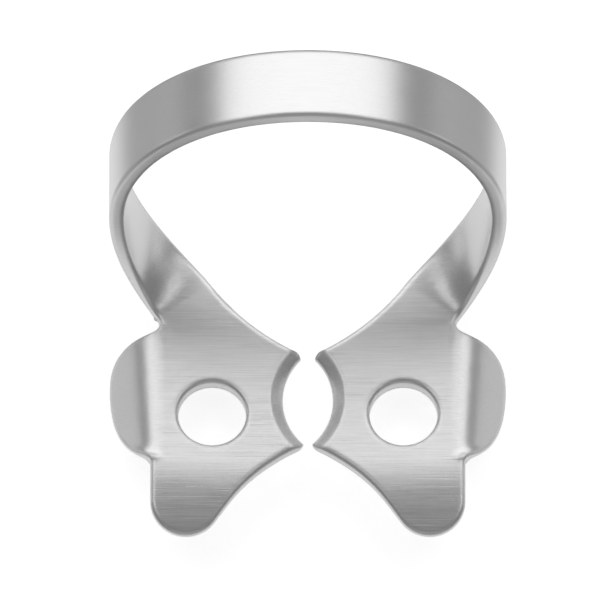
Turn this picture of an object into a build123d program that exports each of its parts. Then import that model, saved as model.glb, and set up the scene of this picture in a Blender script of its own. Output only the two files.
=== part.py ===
from build123d import *
from math import asin, cos, radians, sin, sqrt
import os

# Rubber dam clamp, one piece of bent spring-steel sheet: two jaw plates joined by an arched bow.
# X runs from jaw to jaw, Y from the tongues back to the bow, Z up.
# It is drawn with the plates level, the origin midway between the jaws at mid sheet,
# then tipped back to the attitude in which it rests on its wings and the roots of its legs.

# Sheet
sheet = 0.75  # thickness of the sheet
edge_round = 0.2  # rounding of the tumbled edges of the plates

# Bow
bow_width = 19.85  # outside width
bow_rise = 9.15  # outside, from the springing line to the crown
bow_fullness = 0.575  # share of the rise and of the half width that the bow runs straight before it turns
strip_width = 3.96  # width of the strip in the bow
strip_round = 0.1  # rounding of the edges of the bow; along the legs it grows to that of the plates
bow_lean = 10.0  # degrees the bow leans back from square to the plates
spring_height = 5.6  # springing line above the plates
spring_back = 7.27  # front edge of the strip behind the jaws at the springing line

# Legs, each a strip that bends up from the plate and turns into the bow
root_front_x = 7.53  # front corner of the root, out from the middle
root_front_y = 4.4  # front corner of the root, behind the jaws
root_width = 3.25  # width of the strip at its root
root_heading = 125.5  # degrees from X at which the strip leaves the plate
front_root_pull = 1.2  # how far the front edge keeps the root's heading
front_spring_pull = 3.22  # how far the front edge keeps the bow's heading
back_root_pull = 1.75  # the same for the back edge
back_spring_pull = 4.28
leg_steps = 24  # sections drawn along each leg
bow_steps = 8  # sections drawn along each half of the bow

# Jaws
jaw_gap = 2.5  # between the jaws at their middle
jaw_radius = 3.3  # hollow of each jaw
prong_front = 2.43  # tip of the front prong, before the middle
prong_back = 2.27  # tip of the back prong, behind the middle
prong_round = 0.55  # rounding of the prong tips in plan
bevel_run = 0.62  # bevel on the top of the jaw, across the plate
bevel_drop = 0.38  # bevel on the top of the jaw, down the edge
bevel_round = 0.25  # rounding below the bevel
jaw_break = 0.12  # bevel and rounding under the jaw
jaw_trim = 0.25  # left on the hollow of the blank, ground away with the bevel

# Hole for the forceps
hole_diameter = 3.4
hole_x = 4.78  # out from the middle
hole_front = 0.89  # before the middle of the jaws
hole_round = 0.2  # drawn-in rounding of the punched rim on top
hole_exit_round = 0.08  # the same below

# Tongue
tongue_side_x = 7.86  # straight outer side
tongue_reach = 7.36  # tip, before the middle of the jaws
tongue_radius = 1.78  # round end
tongue_inner_heading = 54.0  # degrees from X of the straight inner side
tongue_inner_length = 1.2
tongue_bend_front = 3.57  # it starts to curve down here, before the middle of the jaws
tongue_bend_radius = 12.5
tongue_bend_angle = 19.0

# Wing, an ear folded down beside the plate, with a fold that fades out at both ends of it
fold_x = 7.1  # start of the fold, out from the middle
fold_front_radius = 1.8  # at mid sheet
fold_back_radius = 2.9
fold_angle = 34.0
fold_fade = 0.9  # length over which the fold fades
wing_reach = 9.78  # widest point of the wing, out from the middle
wing_widest = 1.0  # widest point, behind the middle of the jaws
wing_back_pull = 2.85  # how far the edge keeps straight behind the widest point
wing_front_pull = 3.8  # how far the edge keeps straight before the widest point
wing_corner = 3.45  # inner corner between wing and tongue, before the middle of the jaws
wing_corner_pull = 0.45  # how far the edge keeps straight from the inner corner
notch_round = 0.5  # notch between wing and leg
notch_pull = 1.0  # how far the edge keeps straight from the notch
wing_steps = 10  # sections drawn along each half of the wing
fold_steps = 6  # lengths drawn along each section

# Attitude at rest
rest_tip = 12.7  # degrees

half_sheet = sheet / 2
clear = 20.0  # length of a cutting block, longer than the clamp
hair = 0.001  # lengths this close are the same


def bend(radius, angle):
    """Section of a sheet that curves down from level at the origin."""
    arcs = [CenterArc((0, -radius), radius + rise, 90 - angle, angle) for rise in (half_sheet, -half_sheet)]
    caps = [Line(arcs[0] @ end, arcs[1] @ end) for end in (0, 1)]
    return make_face(arcs + caps)


# Outline of the left plate, seen from above
root_dir = Vector(cos(radians(root_heading)), sin(radians(root_heading)))
root_across = Vector(root_dir.Y, -root_dir.X)
root_front = Vector(-root_front_x, root_front_y)
root_back = root_front + root_across * root_width
notch_arc = JernArc(root_front, -root_dir, notch_round, 90 - root_heading)
notch = notch_arc @ 1

blank_radius = jaw_radius - jaw_trim
jaw_x = jaw_radius - jaw_gap / 2
front_prong = Vector(jaw_x - sqrt(blank_radius**2 - prong_front**2), -prong_front)
back_prong = Vector(jaw_x - sqrt(blank_radius**2 - prong_back**2), prong_back)

tongue_center = Vector(tongue_radius - tongue_side_x, tongue_radius - tongue_reach)
inner_dir = Vector(cos(radians(tongue_inner_heading)), sin(radians(tongue_inner_heading)))
tongue_end = CenterArc(tongue_center, tongue_radius, 180, 90 + tongue_inner_heading)
inner_end = (tongue_end @ 1) + inner_dir * tongue_inner_length

corner = Vector(-tongue_side_x, -wing_corner)
fold_front = Vector(-fold_x, corner.Y)
fold_back = Vector(-fold_x, notch.Y)

outline = make_face(
    [
        Line(root_front, root_back),
        TangentArc(root_back, back_prong, tangent=-root_dir),
        ThreePointArc(back_prong, (jaw_x - blank_radius, 0), front_prong),
        TangentArc(inner_end, front_prong, tangent=inner_dir),
        Line(tongue_end @ 1, inner_end),
        tongue_end,
        Line(tongue_end @ 0, corner),
        Line(corner, fold_front),
        Line(fold_front, fold_back),
        Line(fold_back, notch),
        notch_arc,
    ]
)
for prong in (front_prong, back_prong):
    outline = fillet(outline.vertices().sort_by_distance(prong)[0], prong_round)

# Left plate cut from a sheet that is level, then curves down along the tongue
level_sheet = Pos(0, clear - tongue_bend_front, 0) * Box(clear * 2, clear * 2, sheet)
tongue_plane = Plane((0, -tongue_bend_front, 0), x_dir=(0, -1, 0), z_dir=(-1, 0, 0))
tongue_sheet = extrude(tongue_plane * bend(tongue_bend_radius, tongue_bend_angle), clear, both=True)
blank = extrude(outline, clear, both=True)
form = (level_sheet & blank) + (tongue_sheet & blank)
top = Shell([face for face in form.faces() if face.normal_at().Z > hair])
plate = Solid.thicken(top, -sheet)

# Rounded rim, all but the faces that carry on into the leg and the wing
joins = ((root_front, root_back), (corner, fold_front), (fold_front, fold_back), (fold_back, notch))
contacts = [plate.faces().sort_by_distance((start + end) / 2)[0] for start, end in joins]
through = [edge for edge in plate.edges() if abs((edge @ 1 - edge @ 0).length - sheet) < hair]
kept = through + [edge for face in contacts for edge in face.edges()]
rim = ShapeList()
for face in plate.faces():
    if face not in contacts and any(edge in through for edge in face.edges()):
        rim += [edge for edge in face.edges() if edge not in kept]
plate = fillet(rim, edge_round)

# Forceps hole
hole = Pos(-hole_x, -hole_front, 0) * Cylinder(hole_diameter / 2, clear)
plate -= hole
for rim_z, radius in ((half_sheet, hole_round), (-half_sheet, hole_exit_round)):
    rims = plate.edges().filter_by(GeomType.CIRCLE)
    plate = fillet(rims.sort_by_distance((-hole_x, -hole_front, rim_z))[0], radius)

# Jaw edge, bevelled on top and broken below, turned about the middle of the hollow
slope = bevel_run / bevel_drop
low_corner = (jaw_radius, jaw_break - half_sheet)
bevel_corner = (jaw_radius, half_sheet - bevel_drop)
section = make_face(
    Polyline(
        (0, -sheet),
        (jaw_radius + half_sheet + jaw_break, -sheet),
        low_corner,
        bevel_corner,
        (jaw_radius + slope * (half_sheet + bevel_drop), sheet),
        (0, sheet),
        close=True,
    )
)
for place, radius in ((low_corner, jaw_break), (bevel_corner, bevel_round)):
    section = fillet(section.vertices().sort_by_distance(place)[0], radius)
cutter = Pos(jaw_x, 0, 0) * revolve(Plane.XZ * section, Axis.Z)
plate -= cutter

# Wing, as sections along its edge
widest = Vector(-wing_reach, wing_widest)
edge_back = Bezier(notch, notch - (0, notch_pull), widest + (0, wing_back_pull), widest)
edge_front = Bezier(widest, widest - (0, wing_front_pull), corner + (0, wing_corner_pull), corner)
full_fold = radians(fold_angle)


def fold_line(length, curvature):
    """Place and heading of the mid sheet at that length from the start of a fold."""
    turned = min(curvature * length, full_fold)
    curved = turned / curvature if curvature else length
    chord = 2 * sin(turned / 2) / curvature if curvature else length
    ahead = Vector(cos(turned), -sin(turned))
    return Vector(cos(turned / 2), -sin(turned / 2)) * chord + ahead * (length - curved), ahead


def fold_length(reach, curvature):
    """Length of the mid sheet that reaches so far out from the start of a fold."""
    if curvature == 0:
        return reach
    if curvature * reach < sin(full_fold):
        return asin(curvature * reach) / curvature
    return full_fold / curvature + (reach - sin(full_fold) / curvature) / cos(full_fold)


def wing_section(tip):
    """Section of the wing square to Y, from the start of the fold out to the tip."""
    share = (notch.Y - tip.Y) / (notch.Y - corner.Y)
    radius = fold_back_radius + (fold_front_radius - fold_back_radius) * share
    inside = min(notch.Y - tip.Y, tip.Y - corner.Y, fold_fade) / fold_fade
    curvature = inside**2 * (3 - 2 * inside) / radius
    length = fold_length(-tip.X - fold_x, curvature) - edge_round
    upper, lower = [], []
    for step in range(fold_steps + 1):
        place, ahead = fold_line(length * step / fold_steps, curvature)
        up = Vector(-ahead.Y, ahead.X) * half_sheet
        upper.append(place + up)
        lower.append(place - up)
    land = Vector(-ahead.Y, ahead.X) * (half_sheet - edge_round)
    end = place + ahead * edge_round
    plane = Plane((-fold_x, tip.Y, 0), x_dir=(-1, 0, 0), z_dir=(0, 1, 0))
    return plane * make_face(
        [
            Line(lower[0], upper[0]),
            Spline(*upper, tangents=((1, 0), ahead)),
            TangentArc(upper[-1], end + land, tangent=ahead),
            Line(end + land, end - land),
            TangentArc(lower[-1], end - land, tangent=ahead),
            Spline(*lower, tangents=((1, 0), ahead)),
        ]
    )


shares = [step / wing_steps for step in range(wing_steps + 1)]
tips = [edge_back @ share for share in shares[:-1]] + [edge_front @ share for share in shares]
plate += loft([wing_section(tip) for tip in tips])

# Strip of the left leg and the left half of the bow, as lines along its front and back edges
lean = radians(bow_lean)
bow_up = Vector(0, sin(lean), cos(lean))
bow_across = Vector(0, cos(lean), -sin(lean)) * strip_width
bow_plane = Plane((0, spring_back, spring_height), x_dir=(1, 0, 0), z_dir=-bow_across)
half_width = bow_width / 2 - half_sheet
rise = bow_rise - half_sheet
bow_front = bow_plane * Bezier(
    (-half_width, 0),
    (-half_width, bow_fullness * rise),
    (-bow_fullness * half_width, rise),
    (0, rise),
)


def leg_edge(root, root_pull, spring, spring_pull):
    """Edge of the strip from its root to the springing line."""
    return Bezier(root, root + root_dir * root_pull, spring - bow_up * spring_pull, spring)


bow_back = Pos(bow_across) * bow_front
leg_front = leg_edge(root_front, front_root_pull, bow_front @ 0, front_spring_pull)
leg_back = leg_edge(root_back, back_root_pull, bow_back @ 0, back_spring_pull)


def flip(vector):
    """The same vector on the right half."""
    return Vector(-vector.X, vector.Y, vector.Z)


def strip_section(front, back, travel, rounding):
    """Section of the strip between two points of its edges, square to the way it runs."""
    across = (back - front).normalized()
    ahead = travel - across * travel.dot(across)
    plane = Plane((front + back) / 2, x_dir=across, z_dir=ahead)
    return plane * RectangleRounded((back - front).length, sheet, rounding)


stations = []
for front, back, steps, growth in (
    (leg_front, leg_back, leg_steps, edge_round - strip_round),
    (bow_front, bow_back, bow_steps, 0),
):
    for place in [step / steps for step in range(steps)]:
        travel = front % place + back % place
        stations.append((front @ place, back @ place, travel, strip_round + growth * (1 - place) ** 2))
mirrored = [(flip(front), flip(back), -flip(travel), rounding) for front, back, travel, rounding in stations]
stations.append((bow_front @ 1, bow_back @ 1, bow_front % 1, strip_round))
strip = loft([strip_section(*station) for station in stations + mirrored[::-1]])

# One piece, tipped back to rest, with the middle of its footprint at the origin
clamp = plate + strip + mirror(plate, Plane.YZ)
clamp = Rot(X=-rest_tip) * clamp
box = clamp.bounding_box()
clamp = Pos(-box.center().X, -box.center().Y, -box.min.Z) * clamp
os.makedirs("parts", exist_ok=True)
export_step(clamp, "parts/clamp.step")
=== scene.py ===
import math

import bmesh
import bpy
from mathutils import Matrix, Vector


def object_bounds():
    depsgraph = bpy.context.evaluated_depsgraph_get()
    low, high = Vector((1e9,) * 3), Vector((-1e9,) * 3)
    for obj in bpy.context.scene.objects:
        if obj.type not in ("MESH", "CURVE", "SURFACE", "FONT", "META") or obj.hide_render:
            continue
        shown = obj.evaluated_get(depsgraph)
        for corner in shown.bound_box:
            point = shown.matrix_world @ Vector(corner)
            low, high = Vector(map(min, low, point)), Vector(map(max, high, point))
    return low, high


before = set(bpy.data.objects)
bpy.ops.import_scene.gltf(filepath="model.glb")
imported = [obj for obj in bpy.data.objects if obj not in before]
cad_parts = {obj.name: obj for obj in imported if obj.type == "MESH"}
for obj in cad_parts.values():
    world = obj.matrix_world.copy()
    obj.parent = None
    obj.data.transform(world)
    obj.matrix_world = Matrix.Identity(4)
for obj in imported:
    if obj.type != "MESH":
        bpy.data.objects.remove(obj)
cad_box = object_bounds()

# Lengths are in metres and angles in degrees. A pattern's scale is in cells per metre, along X, Y and Z.

# View
IMAGE = 600  # side of the picture, in pixels
PIXELS_PER_METRE = 20050.0  # scale of the clamp in the picture
VIEW_ELEVATION = 77.7
VIEW_DISTANCE = 1.2
VIEW_AIM = Vector((-0.000390, 0.000325, 0.004817))
SENSOR_WIDTH = 36.0  # in millimetres, as the lens is

# Spring steel
BRUSH_LINES = (380.0, 15000.0, 15000.0)  # long along X, from jaw to jaw
SCRATCHES = (300.0, 18000.0, 18000.0)
SCRATCH_EDGES = (0.58, 0.74)  # noise values between which a scratch sets in
MOTTLE = (700.0, 700.0, 700.0)
PLATE_SIDE = (0.0074, 0.0083)  # the brushing fades into the wings between these distances from the middle
PLATE_TOP = (0.004, 0.008)  # and into the bow between these heights
FADED_BRUSHING = 0.4
STEEL_ROUGHNESS = 0.31
DARK_STEEL = (0.50, 0.50, 0.505, 1.0)
LIGHT_STEEL = (0.82, 0.82, 0.815, 1.0)
TUMBLED_EDGE = 0.00035  # radius to which the finish softens every edge
LINE_DEPTH = 0.00002

# Floor
FLOOR_HALF = 2.0
FLOOR_GAP = 0.0001  # below the clamp, so that no two faces share a plane
PAPER = (0.85, 0.85, 0.85, 1.0)
PAPER_GLOW = 0.65
MIRRORED_GLOW = 0.78  # share of that glow that the steel mirrors
GLOW_SHIFT = (0.0, 0.003, 0.0)  # from the glow's middle to the origin
GLOW_EDGES = (0.017, 0.026)  # distances from its middle between which the mirrored glow fades out
BLACK = (0.0, 0.0, 0.0, 1.0)
WHITE = (1.0, 1.0, 1.0, 1.0)

# Light
WORLD_LIGHT = 0.27
LAMP_AIM = Vector((0.0, 0.0, 0.005))


class Socket:
    """A node socket in a shader tree. Operators on it add Math nodes."""

    def __init__(self, tree, socket):
        self.tree = tree
        self.socket = socket

    def node(self, kind, settings=None, output=0, **sockets):
        """One output of a new node of that kind, with its settings made first and then its sockets filled."""
        made = self.tree.nodes.new(kind)
        for name, value in (settings or {}).items():
            setattr(made, name, value)
        fill(made, **sockets)
        return Socket(self.tree, made.outputs[output])

    def math(self, operation, first, second=0.0):
        return self.node("ShaderNodeMath", {"operation": operation}, _0=first, _1=second)

    def __add__(self, other):
        return self.math("ADD", self, other)

    def __radd__(self, other):
        return self.math("ADD", other, self)

    def __sub__(self, other):
        return self.math("SUBTRACT", self, other)

    def __rsub__(self, other):
        return self.math("SUBTRACT", other, self)

    def __mul__(self, other):
        return self.math("MULTIPLY", self, other)

    def __rmul__(self, other):
        return self.math("MULTIPLY", other, self)

    def __abs__(self):
        return self.math("ABSOLUTE", self)


def fill(node, **sockets):
    """Links or sets a node's sockets, by their names with _ for a space, or by their places as _0, _1."""
    for name, value in sockets.items():
        key = int(name[1:]) if name.startswith("_") else name.replace("_", " ")
        if isinstance(value, Socket):
            value.tree.links.new(value.socket, node.inputs[key])
        else:
            node.inputs[key].default_value = value


def new_material(name):
    """A new material, its shader, and a socket that gives the place on the object."""
    material = bpy.data.materials.new(name)
    material.use_nodes = True
    tree = material.node_tree
    place = Socket(tree, tree.nodes.new("ShaderNodeTexCoord").outputs["Object"])
    return material, tree.nodes["Principled BSDF"], place


def fade(value, edges, before=0.0, after=1.0):
    """A smooth change from before to after, as the value goes from the first edge to the second."""
    first, second = edges
    return value.node("ShaderNodeMapRange", {"interpolation_type": "SMOOTHSTEP"},
                      Value=value, From_Min=first, From_Max=second, To_Min=before, To_Max=after)


def noise(place, cells, detail, roughness):
    """Noise with so many cells per metre along each axis."""
    stretched = place.node("ShaderNodeMapping", Vector=place, Scale=cells)
    return place.node("ShaderNodeTexNoise", Vector=stretched, Scale=1.0, Detail=detail, Roughness=roughness)


def mix(factor, first, second):
    """A colour between two colours."""
    return factor.node("ShaderNodeMix", {"data_type": "RGBA"}, output=2, _0=factor, _6=first, _7=second)


def spring_steel():
    """Satin spring steel, brushed from jaw to jaw on the plates and smoother on the wings and the bow."""
    material, shader, place = new_material("spring_steel")
    sideways = abs(place.node("ShaderNodeSeparateXYZ", output="X", Vector=place))
    height = place.node("ShaderNodeSeparateXYZ", output="Z", Vector=place)
    brushed = fade(sideways, PLATE_SIDE, 1.0, FADED_BRUSHING) * fade(height, PLATE_TOP, 1.0, FADED_BRUSHING)
    grain = brushed * (noise(place, BRUSH_LINES, 3.0, 0.6) - 0.5)
    wear = brushed * fade(noise(place, SCRATCHES, 1.0, 0.5), SCRATCH_EDGES)
    mottle = noise(place, MOTTLE, 2.0, 0.5) - 0.5
    tumbled = place.node("ShaderNodeBevel", {"samples": 8}, Radius=TUMBLED_EDGE)
    relief = place.node("ShaderNodeBump", Strength=0.15, Distance=LINE_DEPTH,
                        Height=grain - 0.5 * wear, Normal=tumbled)
    fill(shader,
         Base_Color=mix(0.5 + 0.8 * grain - 0.1 * wear + 0.12 * mottle, DARK_STEEL, LIGHT_STEEL),
         Roughness=STEEL_ROUGHNESS + 0.10 * grain + 0.06 * wear + 0.05 * mottle,
         Normal=relief,
         Metallic=1.0)
    return material


def white_paper():
    """Pale paper that is white behind the clamp, and that the steel mirrors. It takes the clamp's shadow."""
    material, shader, place = new_material("white_paper")
    from_middle = place.node("ShaderNodeMapping", Vector=place, Location=GLOW_SHIFT)
    reach = place.node("ShaderNodeVectorMath", {"operation": "LENGTH"}, output="Value", _0=from_middle)
    near = fade(reach, GLOW_EDGES, 1.0, 0.0)
    seen = place.node("ShaderNodeLightPath", output="Is Camera Ray")
    mirrored = place.node("ShaderNodeLightPath", output="Is Glossy Ray")
    fill(shader,
         Base_Color=PAPER,
         Roughness=0.9,
         Emission_Color=mix(seen + MIRRORED_GLOW * mirrored * near, BLACK, WHITE),
         Emission_Strength=PAPER_GLOW)
    return material


def lay_floor(height):
    """A plain floor at that height."""
    mesh = bpy.data.meshes.new("floor")
    grid = bmesh.new()
    bmesh.ops.create_grid(grid, x_segments=1, y_segments=1, size=FLOOR_HALF)
    grid.to_mesh(mesh)
    grid.free()
    mesh.materials.append(white_paper())
    floor = bpy.data.objects.new("floor", mesh)
    floor.location.z = height
    bpy.context.scene.collection.objects.link(floor)


def set_up(name, data, place, target):
    """A camera or a lamp at a place, turned to look at a target."""
    thing = bpy.data.objects.new(name, data)
    thing.location = place
    thing.rotation_mode = "QUATERNION"
    thing.rotation_quaternion = (target - place).to_track_quat("-Z", "Y")
    bpy.context.scene.collection.objects.link(thing)
    return thing


def softbox(name, place, size, power):
    """A soft lamp, as wide and high as its size, that lights the clamp."""
    light = bpy.data.lights.new(name, "AREA")
    light.shape = "RECTANGLE"
    light.size, light.size_y = size
    light.energy = power
    set_up(name, light, Vector(place), LAMP_AIM)


# Clamp and floor
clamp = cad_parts["clamp"]
clamp.data.materials.clear()
clamp.data.materials.append(spring_steel())
lowest, highest = cad_box
lay_floor(lowest.z - FLOOR_GAP)

# Camera
lift = math.radians(VIEW_ELEVATION)
towards_camera = Vector((0.0, -math.cos(lift), math.sin(lift)))
camera = bpy.data.cameras.new("camera")
camera.sensor_width = SENSOR_WIDTH
camera.lens = SENSOR_WIDTH * VIEW_DISTANCE * PIXELS_PER_METRE / IMAGE
camera.clip_start = 0.01
camera.clip_end = 10.0
bpy.context.scene.camera = set_up("camera", camera, VIEW_AIM + VIEW_DISTANCE * towards_camera, VIEW_AIM)

# Light
world = bpy.data.worlds.new("studio")
bpy.context.scene.world = world
world.use_nodes = True
fill(world.node_tree.nodes["Background"], Color=WHITE, Strength=WORLD_LIGHT)
softbox("back_box", (0.0, 0.337, 0.236), (0.60, 0.34), 0.82)
softbox("front_box", (0.0, -0.33, 0.25), (0.50, 0.20), 0.08)
for side, way in (("left", -1.0), ("right", 1.0)):
    softbox(side + "_strip", (way * 0.41, 0.166, 0.094), (0.20, 0.13), 0.062)
    softbox(side + "_high_box", (way * 0.209, 0.116, 0.382), (0.16, 0.16), 0.085)

bpy.context.scene.view_settings.view_transform = "Standard"
